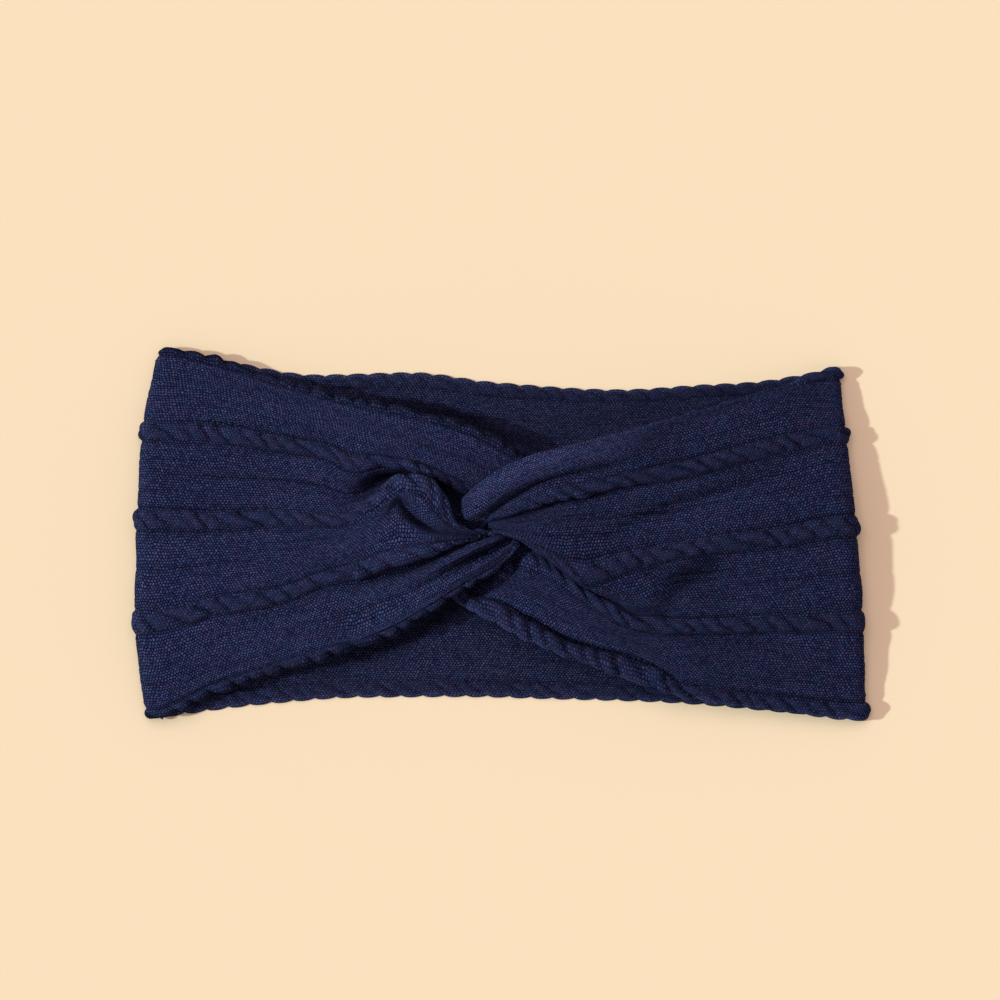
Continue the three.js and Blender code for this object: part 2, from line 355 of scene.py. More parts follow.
def mapRange(tree, value, source, target, interpolation="LINEAR"):
    inputs = {"Value": value}
    inputs["From Min"], inputs["From Max"] = source
    inputs["To Min"], inputs["To Max"] = target
    return addNode(tree, "ShaderNodeMapRange", inputs, interpolation_type=interpolation)[0]


# Sets inputs of a node from one part of a look.
def setInputs(node, values):
    for socketName, value in values.items():
        node.inputs[socketName].default_value = opaque(value)


# Looks of the cloth's two sides and of the thread: shader and bump values, then what goes into the knit
# group, whose inputs have the same names.
finish = {
    "shader": {
        "Roughness": 0.95,
        "Specular IOR Level": 0.02,
        "Sheen Weight": 0.015,
        "Sheen Roughness": 0.6,
        "Sheen Tint": (0.42, 0.46, 0.8),
    },
    "bump": {"Strength": 0.8, "Distance": 0.25 * mm},
}
jerseyFace = {
    **finish,
    "knit": {
        "Gap Colour": (0.0006, 0.0010, 0.016),
        "Yarn Colour": (0.054, 0.076, 0.178),
        "Warm Yarn Colour": (0.070, 0.070, 0.162),
        "Stitch Width": knit["stitchWide"],
        "Stitch Length": knit["stitchLong"],
        "Cable Shade": 0.3,
        "Cable Smoothness": 0.5,
        "Painted Shade Strength": 0.78,
        "Cloudiness": 0.1,
        "Painted Falloff": 0.2,
    },
}
insideColours = {"Yarn Colour": (0.0495, 0.0645, 0.139), "Warm Yarn Colour": (0.063, 0.063, 0.133)}
jerseyInside = {**finish, "knit": {**jerseyFace["knit"], **insideColours}}
threadColours = {"Yarn Colour": (0.05, 0.055, 0.13), "Stitch Width": 0.35, "Stitch Length": 0.3}
seamThread = {**finish, "knit": {**jerseyFace["knit"], **threadColours}}


# The jersey's colour and relief: columns of small stitches that follow the cloth's own u and v, in yarn whose
# dye drifts between two blues, with painted shade in the creases and painted highlights on the fold crests.
def makeJerseyGroup():
    marks = {"Cloth": None, "Place": None, "Crease": 0.0, "Cable": 0.0}  # Cloth is u and v in millimetres
    outputs = {"Colour": "NodeSocketColor", "Height": "NodeSocketFloat"}
    group, given, result = newGroup("jerseyKnit", {**marks, **jerseyFace["knit"]}, outputs)
    # a little wander, so that the stitches aren't ruled lines
    wander = {0: noiseOn(group, given["Cloth"], 0.3, 4)["Color"], 1: (1.7, 1.7, 0), 2: given["Cloth"]}
    shifted = addNode(group, "ShaderNodeVectorMath", wander, operation="MULTIPLY_ADD")[0]
    split = addNode(group, "ShaderNodeSeparateXYZ", {0: shifted})
    # stitches of neighbouring columns lie half a stitch apart
    column = calc(group, "DIVIDE", split["Y"], given["Stitch Width"])
    offMiddle = calc(group, "ABSOLUTE", calc(group, "SUBTRACT", calc(group, "FRACT", column), 0.5))
    fromMiddle = calc(group, "MULTIPLY", offMiddle, 2.0)
    course = calc(group, "DIVIDE", split["X"], given["Stitch Length"])
    halfStep = calc(group, "MULTIPLY", calc(group, "MODULO", calc(group, "FLOOR", column), 2.0), 0.5)
    slanted = calc(group, "ADD", calc(group, "MULTIPLY_ADD", fromMiddle, 0.2, course), halfStep)
    # each stitch is two rounded legs of yarn that meet in its middle, with a deep gap to the next column
    twiceOff = calc(group, "MULTIPLY", fromMiddle, 2.0)
    acrossLeg = calc(group, "ABSOLUTE", calc(group, "SUBTRACT", twiceOff, 0.9))
    leg = calc(group, "MULTIPLY_ADD", calc(group, "POWER", acrossLeg, 2.0), -0.3, 1.0)
    roundAcross = calc(group, "SUBTRACT", 1.0, calc(group, "POWER", fromMiddle, 2.5))
    roundAlong = calc(group, "SINE", calc(group, "MULTIPLY", calc(group, "FRACT", slanted), math.pi))
    yarn = calc(group, "MULTIPLY", calc(group, "MULTIPLY", roundAcross, leg), roundAlong)
    # single stitches catch more light than others
    corner = {0: calc(group, "FLOOR", column), 1: calc(group, "FLOOR", slanted)}
    cell = addNode(group, "ShaderNodeCombineXYZ", corner)[0]
    speckle = addNode(group, "ShaderNodeTexWhiteNoise", {"Vector": cell})["Value"]
    single = calc(group, "MULTIPLY_ADD", speckle, 0.8, 0.5)
    amount = calc(group, "MULTIPLY", calc(group, "POWER", yarn, 1.5), single)
    # the yarn's own fine fibres break each stitch up
    fibres = mapRange(group, noiseOn(group, given["Cloth"], 2.4, 3)["Fac"], (0.32, 0.68), (0.4, 1.6))
    amount = calc(group, "MULTIPLY", amount, fibres)
    # on the cables the yarn lies smoother than the plain knit, and the twist tops are set a little paler, a
    # painted highlight
    smooth = calc(group, "MULTIPLY", given["Cable"], given["Cable Smoothness"])
    amount = mix(group, "FLOAT", smooth, amount, given["Cable Shade"])
    # dyed yarn is never all one colour
    dyed = mapRange(group, noiseOn(group, given["Cloth"], 0.22, 5)["Fac"], (0.4, 0.62), (0.0, 1.0))
    dye = mix(group, "RGBA", dyed, given["Yarn Colour"], given["Warm Yarn Colour"])
    plain = mix(group, "RGBA", amount, given["Gap Colour"], dye)
    # slow random change of tone over the cloth, and a painted fall-off of the light: the band darker towards
    # +x, away from the window
    darkest = calc(group, "SUBTRACT", 1.0, given["Cloudiness"])
    palest = calc(group, "ADD", 1.0, given["Cloudiness"])
    clouds = noiseOn(group, given["Place"], 55, 4)["Fac"]
    cloudy = mapRange(group, clouds, (0.0, 1.0), (darkest, palest))
    place = addNode(group, "ShaderNodeSeparateXYZ", {0: given["Place"]})
    deepest = calc(group, "SUBTRACT", 1.0, given["Painted Falloff"])
    lightFalloff = mapRange(group, place["X"], (-0.05, 0.09), (1.0, deepest), "SMOOTHSTEP")
    # painted shade from the Crease mark, and painted highlight where the mark is below 0
    hollow = calc(group, "SUBTRACT", 1.0, calc(group, "MULTIPLY", given["Crease"], given["Painted Shade Strength"]))
    shade = calc(group, "MULTIPLY", calc(group, "MULTIPLY", cloudy, lightFalloff), hollow)
    group.links.new(mix(group, "RGBA", 1.0, plain, shade, "MULTIPLY"), result["Colour"])
    # relief of the stitches, with fine fuzz on top
    fuzz = noiseOn(group, given["Cloth"], 4.5, 3)["Fac"]
    group.links.new(calc(group, "MULTIPLY_ADD", fuzz, 0.35, yarn), result["Height"])
    return group


jerseyGroup = makeJerseyGroup()


# A matt knit, from the values of one look.
def knitMaterial(name, look):
    material = bpy.data.materials.new(name)
    material.use_nodes = True
    tree = material.node_tree
    shader = tree.nodes["Principled BSDF"]
    setInputs(shader, look["shader"])
    knitted = tree.nodes.new("ShaderNodeGroup")
    knitted.node_tree = jerseyGroup
    setInputs(knitted, look["knit"])
    uv = addNode(tree, "ShaderNodeUVMap", {}, uv_map="cloth")[0]
    millimetres = addNode(tree, "ShaderNodeMapping", {"Vector": uv, "Scale": (100, 100, 100)})[0]
    tree.links.new(millimetres, knitted.inputs["Cloth"])
    tree.links.new(addNode(tree, "ShaderNodeTexCoord", {})["Object"], knitted.inputs["Place"])
    for markName, socketName in (("crease", "Crease"), ("cable", "Cable")):
        mark = addNode(tree, "ShaderNodeAttribute", {}, attribute_name=markName)["Fac"]
        tree.links.new(mark, knitted.inputs[socketName])
    relief = {**look["bump"], "Height": knitted.outputs["Height"]}
    tree.links.new(addNode(tree, "ShaderNodeBump", relief)[0], shader.inputs["Normal"])
    tree.links.new(knitted.outputs["Colour"], shader.inputs["Base Color"])
    return material


faceMaterial = knitMaterial("navyJersey", jerseyFace)
insideMaterial = knitMaterial("navyJerseyInside", jerseyInside)
threadMaterial = knitMaterial("navyThread", seamThread)
print("materials made")

# Where the folded strip's sides lie, as (v, x, y, height of the fold), at seven places down each side.
sides = {
    "left": [
        (0, -104.8, 58.0, 3.8), (12, -108.0, 47.0, 6.2), (30.5, -110.6, 31.6, 9.2),
        (57.5, -112.2, 4.7, 10.2), (85, -112.9, -27.0, 9.6), (103, -111.0, -46.0, 7.4),
        (115, -108.9, -57.3, 5.4),
    ],
    "right": [
        (0, 105.4, 51.6, 4.4), (12, 105.9, 44.0, 5.8), (30.5, 107.4, 30.6, 7.6),
        (57.5, 110.4, 2.5, 10.4), (85, 112.6, -27.0, 8.7), (103, 113.2, -46.0, 6.2),
        (115, 113.9, -57.6, 4.6),
    ],
}
foldRun = 2.0  # flat cloth below each fold, in millimetres


# The half circle a line of the cloth makes round a side fold, from under the band to its top.
def foldArc(side, v):
    vs = [row[0] for row in sides[side]]
    x, y, height = smoothThrough(vs, [row[1:] for row in sides[side]], [v])[0]
    out = -1 if side == "left" else 1
    radius = height / 2
    points = [(x - out * (radius + foldRun), y, 0.0)]
    for turn in np.linspace(-90, 90, 13):
        angle = math.radians(turn)
        points.append((x - out * radius * (1 - math.cos(angle)), y, radius * (1 + math.sin(angle))))
    return points


# Lines of the cloth from a side fold to the knot, (x, y, z) of its outer face; far holds the spread part,
# near the gathers, each line named by its v.
leftFar = {
    0: [(-88, 54.9, 4.8), (-68, 48.4, 6.4), (-54, 44.2, 8.2)],
    30.5: [(-88, 30.9, 9.4), (-68, 27.9, 9.8), (-54, 25.6, 10.1)],
    57.5: [(-88, 4.2, 10.2), (-68, 4.9, 10.1), (-54, 4.2, 10.6)],
    85: [(-88, -22.2, 9.7), (-68, -18.8, 9.9), (-54, -13.5, 10.6)],
    115: [(-88, -49.6, 6.6), (-68, -42.8, 8.2), (-54, -38.6, 9.6)],
}
leftNear = {
    0: [(-35, 40.3, 10), (-26, 38.5, 10.6), (-17, 36.3, 11), (-9, 33.8, 11), (-1, 29.8, 10.6), (5, 26.2, 10),
        (10, 21.6, 9.4), (13, 15, 9)],
    10.4: [(-35, 35.0, 11), (-26, 33.2, 11.8), (-17, 30.8, 12.2), (-9, 28, 12), (-1, 24, 11.2),
        (5, 20.3, 10), (9, 16, 9.4), (11, 10, 9)],
    18.6: [(-44, 32.2, 10.8), (-35, 29.6, 12), (-26, 27.2, 12.8), (-17, 24.6, 12.9), (-9, 21.6, 12.1),
        (-2, 18.5, 10.6), (4, 15, 9), (7.5, 11, 8.6), (8.6, 7, 8.4)],
    26.5: [(-44, 25.4, 10.7), (-35, 24.6, 11.2), (-26, 22.4, 11.8), (-17, 19.3, 12), (-10, 16, 11),
        (-4, 13.4, 9.5), (2, 11, 8)],
    30.5: [(-44, 21.9, 10.9), (-35, 22.6, 11.5), (-29, 21.8, 12.1), (-22.8, 19.7, 12.4), (-17, 17.6, 12),
        (-11, 14.3, 10.4), (-5, 11, 8.4), (0, 9, 7.4)],
    34.5: [(-44, 18.2, 10.1), (-35, 19.9, 9.6), (-29, 19.9, 9.2), (-22.8, 18.2, 9.2), (-17, 15.9, 8.4),
        (-12, 12.2, 7), (-6, 9, 6.4), (0, 7, 6.4)],
    41: [(-46, 14.4, 9.6), (-41, 15.8, 7.6), (-35, 17.6, 5.6), (-29, 18.8, 4), (-21, 17.8, 2.8),
        (-15.8, 13.4, 2.6), (-12.6, 8.4, 2.8), (-8.4, 5.2, 3.6), (-3, 4, 5)],
    48: [(-48, 10, 9.8), (-41, 11.4, 8.2), (-35, 14.8, 8), (-29, 17.3, 8.4), (-22, 16.8, 8),
        (-17.8, 13, 7.4), (-15.8, 9, 7), (-13.4, 4.8, 6.8), (-9, 2.2, 7), (-3, 0.8, 7.4)],
    57.5: [(-46, 4.9, 11.6), (-40, 9.8, 13.4), (-35, 13.6, 14.8), (-29, 17.2, 16), (-22.4, 16.8, 16.6),
        (-19, 13.9, 16.4), (-17.2, 10.2, 15.9), (-15.2, 5.4, 15), (-12, 2, 13.8), (-7.4, 0.6, 12),
        (-2, 0.6, 9.4)],
    61.5: [(-46, 2.2, 12), (-40, 6, 14), (-35, 9.4, 15.4), (-30, 12.8, 16.4), (-25.2, 12, 17.2),
        (-22, 9.2, 17.2), (-19.2, 5.8, 16.8), (-16, 2.8, 15.8), (-12, 0.9, 14.2), (-7, 0, 12.2),
        (-2, 0.4, 9.4)],
    71: [(-46, -2.1, 12.1), (-40, 1.6, 14.1), (-35, 6, 15), (-31.2, 9.4, 13.2), (-28, 5.6, 11.8),
        (-23.4, 2.2, 12.4), (-17.4, 0.7, 13.6), (-11, -0.3, 13), (-6, -0.4, 11.6), (-2, 0.2, 9.6)],
    76: [(-46, -5.3, 12), (-40, -2.2, 13.8), (-35, 1.4, 15.3), (-31, 4, 16.4), (-27.4, 2.9, 17),
        (-22, 0.4, 16.7), (-16, -0.7, 15.4), (-11, -1, 14), (-6, -0.8, 12.2), (-2, 0, 9.6)],
    80.5: [(-46, -8.3, 11.5), (-40, -6, 12.9), (-35, -4, 14.2), (-28, -2.9, 15.5), (-22, -2.4, 15.8),
        (-16, -2, 15), (-11, -1.6, 13.8), (-6, -1, 12.2), (-2, -0.2, 9.8)],
    85: [(-46, -11.2, 11.2), (-38, -9, 12.9), (-28, -5.9, 14.8), (-20, -4, 15.2), (-13, -2.6, 14.2),
        (-8, -1.4, 12.8), (-4, -0.4, 11), (-1, 0.4, 9.4)],
    89.5: [(-46, -16, 9.6), (-41, -14.9, 9.3), (-33.6, -12.4, 9.4), (-27, -10.6, 10.2), (-20.6, -7.8, 10.4),
        (-14, -4.1, 10.2), (-7.6, -1.5, 10), (-3.3, -0.2, 9.4), (0, 0.6, 8.6)],
    95.4: [(-46, -21, 10.5), (-35, -17.2, 12.6), (-27, -14.4, 13.9), (-20, -11.2, 14.9), (-12, -6.9, 15.2),
        (-7, -4.3, 14.8), (-1, -1.8, 13.2), (3, -0.4, 10.6)],
    99.8: [(-46, -26, 10.2), (-35, -21.6, 12), (-27, -18.6, 12.8), (-20, -14.8, 12.6), (-12.3, -10, 10.6),
        (-7.6, -7.2, 9.8), (-2, -4.8, 9.2), (1.5, -2.5, 8.8), (5, -0.8, 8.2)],
    102.6: [(-46, -30, 9.8), (-35, -26, 11.8), (-27, -22.2, 13.2), (-20, -18, 14.2), (-12, -13.4, 14.6),
        (-6, -10, 14.4), (-1, -7.4, 13.8), (3, -4.4, 12), (6, -1.6, 9.6)],
    105.8: [(-46, -33.2, 9.6), (-35, -29.2, 11.3), (-27, -25.2, 12.6), (-20, -21, 13.6), (-12, -15.9, 13.8),
        (-7, -13, 13.4), (-1, -9.4, 12.8), (4.5, -5, 11.4), (7, -1.8, 9.4)],
    115: [(-48, -36.2, 9.8), (-34, -31.8, 11.2), (-21.6, -24.4, 12.8), (-11, -17.6, 12.8), (-7.6, -15.5, 12),
        (-0.5, -11.8, 11.4), (3.3, -7.8, 11), (7.4, -2.8, 9.4)],
}
rightFar = {
    0: [(88, 43.6, 5.0), (68, 37.4, 6.4), (54, 33.6, 7.6)],
    8: [(88, 45.4, 7.4), (68, 39.7, 9.6), (54, 36.0, 11.4)],
    30.5: [(88, 27.6, 9.2), (68, 22.8, 10.8), (54, 19.4, 12.0)],
    57.5: [(88, -0.6, 10.5), (68, -3.2, 11.4), (54, -5.2, 12.3)],
    85: [(88, -27.5, 9.8), (68, -28.2, 10.0), (54, -28.4, 10.4)],
    112: [(88, -52.6, 6.6), (68, -49.8, 7.8), (54, -47.4, 8.8)],
    115: [(88, -55.0, 5.8), (68, -52.4, 7.0), (54, -49.6, 7.8)],
}
rightNear = {
    0: [(40, 29.2, 9.8), (32, 26.4, 11), (20, 22.6, 12.4), (10, 19.4, 13), (2, 16, 13.2), (-4, 12.6, 13),
        (-8, 9.5, 12), (-9, 9, 9)],
    8: [(40, 32.2, 12.8), (32.7, 30.1, 13.8), (17.5, 26.2, 15), (9.8, 24.3, 15.4), (0.8, 20.3, 15.6),
        (-5.1, 16.4, 15.4), (-9.8, 12.4, 14.4), (-11.6, 10.6, 12), (-11.8, 10.2, 8.5)],
    12.5: [(40, 30, 14.8), (32, 27.8, 15.8), (20, 24.6, 16.8), (10, 21.6, 17.3), (2, 17.9, 17.6),
        (-5, 14.2, 17), (-9.8, 11, 15.4), (-11.8, 9.6, 12.4), (-12, 9.2, 8.5)],
    18: [(40, 27, 15.6), (32, 25, 16.6), (20, 22, 17.7), (10, 18.6, 18.4), (2, 14.2, 18.8), (-5, 10.4, 18),
        (-9.8, 8, 15.8), (-11.9, 7.2, 12.2), (-11.8, 7, 8.5)],
    22: [(40, 24, 15), (32, 22.2, 15.9), (20, 19.6, 16.9), (10, 16.4, 17.4), (2, 11.6, 17.7), (-3, 7.9, 17),
        (-8, 5, 15.2), (-10.4, 4.2, 12), (-10.4, 4.2, 8.5)],
    24.5: [(40.5, 21.8, 14.1), (32, 20.2, 14.6), (20, 18, 15.2), (12.6, 15.6, 15), (5, 11.8, 14.6),
        (-1, 7.6, 13.6), (-4.4, 4.6, 12), (-7, 3.6, 10), (-7.4, 3.6, 8)],
    27.5: [(40, 19, 14.8), (32, 17.2, 15.8), (20, 14.9, 16.7), (12.6, 13, 16.8), (5, 9.8, 16.6),
        (0, 7.2, 15.8), (-3.2, 5.2, 13.4), (-4.8, 4.4, 10), (-5, 4.2, 8)],
    30.5: [(40, 16.9, 14.7), (29.6, 14.4, 16), (21.6, 12.3, 16.6), (12.6, 10.3, 16.8), (5, 7.8, 16.6),
        (0, 6, 15.8), (-3, 4.8, 13.4), (-4.4, 4.2, 10), (-4.6, 4, 8)],
    35: [(40.5, 13.8, 13.5), (30, 12.3, 14.1), (18.8, 10, 14.5), (12.6, 7.9, 14.8), (6.7, 5.9, 14.6),
        (1, 4.7, 14), (-2.4, 4, 12.4), (-4, 3.6, 10), (-4.2, 3.6, 8)],
    40: [(40, 9.6, 14.6), (30, 8, 15.8), (20, 6.6, 16.6), (12, 5.4, 17), (5, 4.2, 16.8), (0, 3.5, 15.6),
        (-2.6, 3, 13), (-3.6, 2.8, 10), (-3.8, 2.8, 8)],
    46.4: [(40, 3.4, 14.6), (30, 2.8, 15.9), (20, 2.2, 16.9), (12, 2, 17.3), (5, 2, 17), (0, 2.2, 15.6),
        (-2.4, 2.2, 13), (-3.4, 2.2, 10), (-3.6, 2.2, 8)],
    52: [(40, -2.2, 14), (30, -4, 15.4), (20, -4.6, 16.3), (13, -2.6, 16.8), (6, -0.2, 16.5), (1, 1.2, 15),
        (-1.8, 1.6, 12.6), (-2.8, 1.8, 10), (-3, 1.8, 8)],
    57.5: [(40, -8.2, 13.6), (32.7, -10.3, 14.6), (26.5, -12.4, 15.3), (20, -10, 15.8), (13, -5.2, 16.2),
        (7, -1.6, 15.6), (2, 0.4, 14), (-0.8, 1, 11.5), (-1.6, 1.4, 8)],
    62: [(44, -12.4, 12.8), (36, -14.6, 13.4), (30, -16.8, 13.8), (25.3, -15.9, 14.4), (20, -12.1, 15),
        (14.4, -7.7, 15.2), (8.5, -3, 14.8), (3, -0.5, 13), (0, 0.6, 10.5), (-1, 0.9, 8)],
    67: [(46, -17.6, 12), (39, -19.2, 12.4), (33, -19.4, 12.2), (28, -15.6, 11.2), (22, -11.4, 11.2),
        (15, -6.4, 11.4), (9, -2.4, 11.2), (4, 0, 10), (1, 1, 8.4)],
    72: [(48, -21.4, 11.2), (42, -22.4, 11.3), (36.5, -20.2, 10.4), (30, -15, 9.6), (22, -9.4, 9.6),
        (15, -4.8, 9.6), (9, -1.2, 9.4), (4, 0.6, 8.8)],
    81.5: [(49, -24.9, 10.6), (42, -25, 10.1), (36, -21.8, 9.3), (29, -17.2, 9), (22, -12, 9), (15, -7.2, 9),
        (9, -3.4, 9), (4, -1.6, 8.8)],
    85: [(43.3, -27.3, 10.3), (35.5, -24.2, 10.1), (28.4, -19.9, 9.8), (20.9, -13.6, 9.6), (15.7, -10, 9.5),
        (9, -6, 9.4), (3, -4.6, 9)],
    89.5: [(43, -30.6, 10), (32, -25.6, 10.1), (22, -18.8, 10), (13, -13.2, 9.8), (4, -10.6, 9.4),
        (-3, -11, 9)],
    99: [(43, -33.8, 9.6), (32, -29.8, 9.9), (22, -24.6, 9.9), (13, -19, 9.8), (4, -15.4, 9.6), (-5, -13, 9),
        (-9, -10.2, 8.6), (-10, -5, 8.4)],
    106: [(43, -36.6, 9.3), (32, -33.4, 9.5), (22, -29.6, 9.6), (13, -24.6, 9.6), (4, -20.2, 9.5),
        (-4, -16.8, 9.2), (-10, -14.6, 8.6), (-12.6, -11, 8.2), (-12, -6, 8)],
    109: [(52.3, -43.2, 8.6), (40.5, -38, 8.8), (28.4, -34.9, 8.9), (19.7, -31.9, 8.9), (9.5, -26.4, 8.9),
        (-1.1, -20.6, 8.9), (-9.6, -17.8, 8.4), (-13.6, -13.4, 8), (-13.6, -8, 7.8)],
    112: [(49.2, -46, 9.4), (40.5, -42.7, 9.8), (31.5, -39.6, 10.2), (22.5, -36.2, 10.4), (13.5, -32, 10.4),
        (4.8, -27, 10.2), (-4.2, -22.4, 9.8), (-11.3, -19.8, 8.8), (-15.4, -15.4, 8), (-15.4, -9.5, 7.8)],
    115: [(52.3, -48.9, 7.9), (43.3, -46.1, 8.2), (34.3, -42.8, 8.4), (26.2, -39.4, 8.6), (10.7, -34, 8.6),
        (-0.2, -28.2, 8.4), (-9.6, -23.2, 8), (-14.6, -18.8, 7.6), (-16.6, -12, 7.6)],
}
front = {
    "alongCount": 256,
    "acrossCount": 188,
    "waveDepth": 0.16,
    "knotRise": 1.8,  # extra height of everything at the knot, over the hidden loops and seam
    "knotReach": (34.0, 30.0),
    "lowest": 3.1,  # the front never sinks into the back
    "foldLength": 12.0,  # cloth below and round a side fold
    "foldCalm": 0.35,  # how much flatter the knit's relief is where it is stretched round a side fold
    "foldCalmReach": 7.0,
    "knotCalm": 0.6,  # the same where it is gathered into the knot
    "knotCalmReach": 17.0,
    "innerRelief": 0.3,  # how much of the relief shows on the inner side
    "hollowShade": 0.6,  # how much painted shade darkens the knit in a hollow
    "hollowReach": (14, 16),  # grid points to either side that a hollow is measured against
    "hollowFrom": 0.6,
    "hollowDepth": 4.0,
}


# Edges that curl under: radius, how far in the curl lies, how much painted shade darkens it, and for each
# half of the front how much of the strip's width is in it.
curl = {
    "radius": 1.1,
    "inset": 2.2,
    "shade": 0.7,
    "left": {"upper": 5.4, "lower": 4.4},
    "right": {},
}

# Sharp creases across the smooth guide lines: depth, half width, then the (x, y) places they run through.
# Each also gets painted shade in proportion to its depth.
creases = {
    "left": [
        (0.9, 0.7, [(-98.2, 34.7), (-82, 33.8), (-64.4, 33.5), (-46.4, 29.5), (-28.7, 26.4)]),
        (2.2, 1.9, [(-43, 13.2), (-40, 15), (-37, 16.8), (-31.5, 18.5)]),
        (1.9, 0.7, [(-47.3, -16.4), (-40.8, -14.9), (-33, -12.4), (-27.1, -10.5), (-20.6, -7.8), (-14.1, -4),
            (-7.6, -1.2), (-3.3, 0)]),
        (1.6, 0.7, [(-12.3, -9.9), (-7.6, -7.1), (-2, -4.7), (0.8, -2.5)]),
        (1.0, 0.9, [(-31.2, 11.2), (-29, 8), (-26, 4.2), (-22.8, 2)]),
        (0.8, 0.6, [(-22, -2), (-16, -2.6), (-10, -1.9), (-5, -0.9)]),
        (0.8, 0.6, [(-18, -14.6), (-11, -10.2), (-5, -6.9)]),
        (0.7, 7.0, [(-106, 18), (-84, 17.6), (-62, 17)]),
    ],
    "right": [
        (1.5, 0.7, [(-3.3, 5.9), (-1.1, 8.4), (5, 12), (12.6, 16.1), (24, 19), (40.5, 22)]),
        (1.2, 0.7, [(-5.1, 3.1), (6.7, 5.9), (12.6, 7.8), (18.8, 10.2), (40.5, 13.6)]),
        (1.8, 1.7, [(88, 18.9), (76, 15.6), (62.8, 12.1), (54, 9.4), (42, 4.4), (33, -1)]),
        (2.6, 3.7, [(50.5, -23), (54, -17), (60, -12.2), (72, -7.6)]),
        (4.4, 2.4, [(-12, -21.5), (-9, -19), (-5.4, -16.6), (-1.6, -14.2), (1.4, -11.8), (4, -8.8),
            (7.4, -4.8)]),
        (0.9, 0.8, [(1, 1.4), (12, 0.4), (26, -1.4), (40, -1.6)]),
        (0.8, 0.7, [(2, 3.2), (16, 4.6), (30, 5.8), (44, 6.2)]),
        (1.4, 0.7, [(-1.1, -20.2), (9.5, -26), (19.7, -32), (28.4, -34.4), (40.5, -37.8), (52.3, -43.1),
            (61.6, -47.5)]),
        (0.8, 2.2, [(44, -9), (52, -14), (62, -18), (74, -20)]),
        (0.5, 7.0, [(56, -36), (80, -38), (104, -42)]),
    ],
    # shallow creases in the back that carry a painted shadow along the front's upper and lower edges
    "back": [
        (0.4, 2.1, [(-44, 42.2), (-26, 39.6), (-9, 35.2), (4.5, 29.4), (15, 28)]),
        (0.4, 2.5, [(-56, -42.4), (-44, -39), (-28, -31.8), (-12.5, -21.8), (-2, -15), (4, -11)]),
    ],
}
creaseShade = 0.24  # how much painted shade darkens the knit for each millimetre of a crease's depth

# Painted highlights along fold crests and fold edges: how much paler, half width, then the places they run
# through.
paintedHighlights = {
    "left": [
        (0.3, 2.6, [(-40, 8.4), (-34, 12.2), (-27, 14.6), (-21, 12)]),
        (0.25, 3.4, [(-44, -13), (-34, -9), (-22, -5.4), (-10, -2.6)]),
    ],
    "right": [
        (0.8, 3.6, [(-12, 9.4), (-5, 13), (3, 17.6), (12, 21.4), (24, 24.6), (40, 28.4)]),
        (0.9, 0.6, [(104, 50), (88, 44.9), (77.7, 42), (55, 35.9), (33, 29.8), (14, 24.8)]),
        (0.3, 3.0, [(46, 2), (58, 7), (72, 11), (86, 15)]),
    ],
}


# How deep in a crease each point lies, or how much painted highlight it gets, from its distance to the lines
# they run along.
def alongLines(grid, lines):
    x, y = grid[..., 0], grid[..., 1]
    depth = np.zeros_like(x)
    for deep, halfWidth, places in lines:
        knots = runLengths(np.array(places, float))
        samples = smoothThrough(knots, places, np.linspace(0, knots[-1], 40))
        share = np.linspace(0, 1, 40)
        fade = np.sin(math.pi * np.clip(share, 0.04, 0.96)) ** 0.5
        box = halfWidth * 4
        near = (x > samples[:, 0].min() - box) & (x < samples[:, 0].max() + box)
        near &= (y > samples[:, 1].min() - box) & (y < samples[:, 1].max() + box)
        away = (x[near][:, None] - samples[None, :, 0]) ** 2 + (y[near][:, None] - samples[None, :, 1]) ** 2
        closest = np.argmin(away, axis=1)
        cut = deep * fade[closest] * np.exp(-away[np.arange(len(closest)), closest] / halfWidth**2)
        depth[near] = np.maximum(depth[near], cut)
    return depth


# How far v lies past the line where a curled edge starts, when the curl takes a given width of the strip.
def pastCurl(v, edge, width):
    return width - v if edge == "upper" else v - (knit["width"] - width)


# Bends the part of a grid beyond an edge of the strip under itself, in an arc.
def curlEdge(grid, acrossV, edge, width):
    beyond = pastCurl(acrossV, edge, width)
    inside = np.flatnonzero(beyond <= 0)
    first, second = (inside[0], inside[2]) if edge == "upper" else (inside[-1], inside[-3])
    outward = grid[:, first] - grid[:, second]
    outward /= np.linalg.norm(outward, axis=1, keepdims=True)
    normal = gridNormals(grid)[:, second]
    normal *= np.sign(np.median(normal[:, 2]))
    radius = curl["radius"]
    for column, amount in enumerate(beyond):
        if amount <= 0:
            grid[:, column] -= outward * curl["inset"] * math.exp(amount / 5)
            continue
        angle = amount / radius
        reach = radius * math.sin(angle) - curl["inset"]
        grid[:, column] += outward * reach - normal * radius * (1 - math.cos(angle))


# Where a line of the cloth lies across a side fold, given that the curled edges take some of the width.
def laidOut(side, v):
    first, last = knit["cables"][1], knit["cables"][3]
    upper, lower = curl[side].get("upper", 0), curl[side].get("lower", 0)
    if v < first:
        return max(v - upper, 0) * first / (first - upper)
    if v > last:
        stretched = (knit["width"] - last) / (knit["width"] - lower - last)
        return min(last + (v - last) * stretched, knit["width"])
    return v
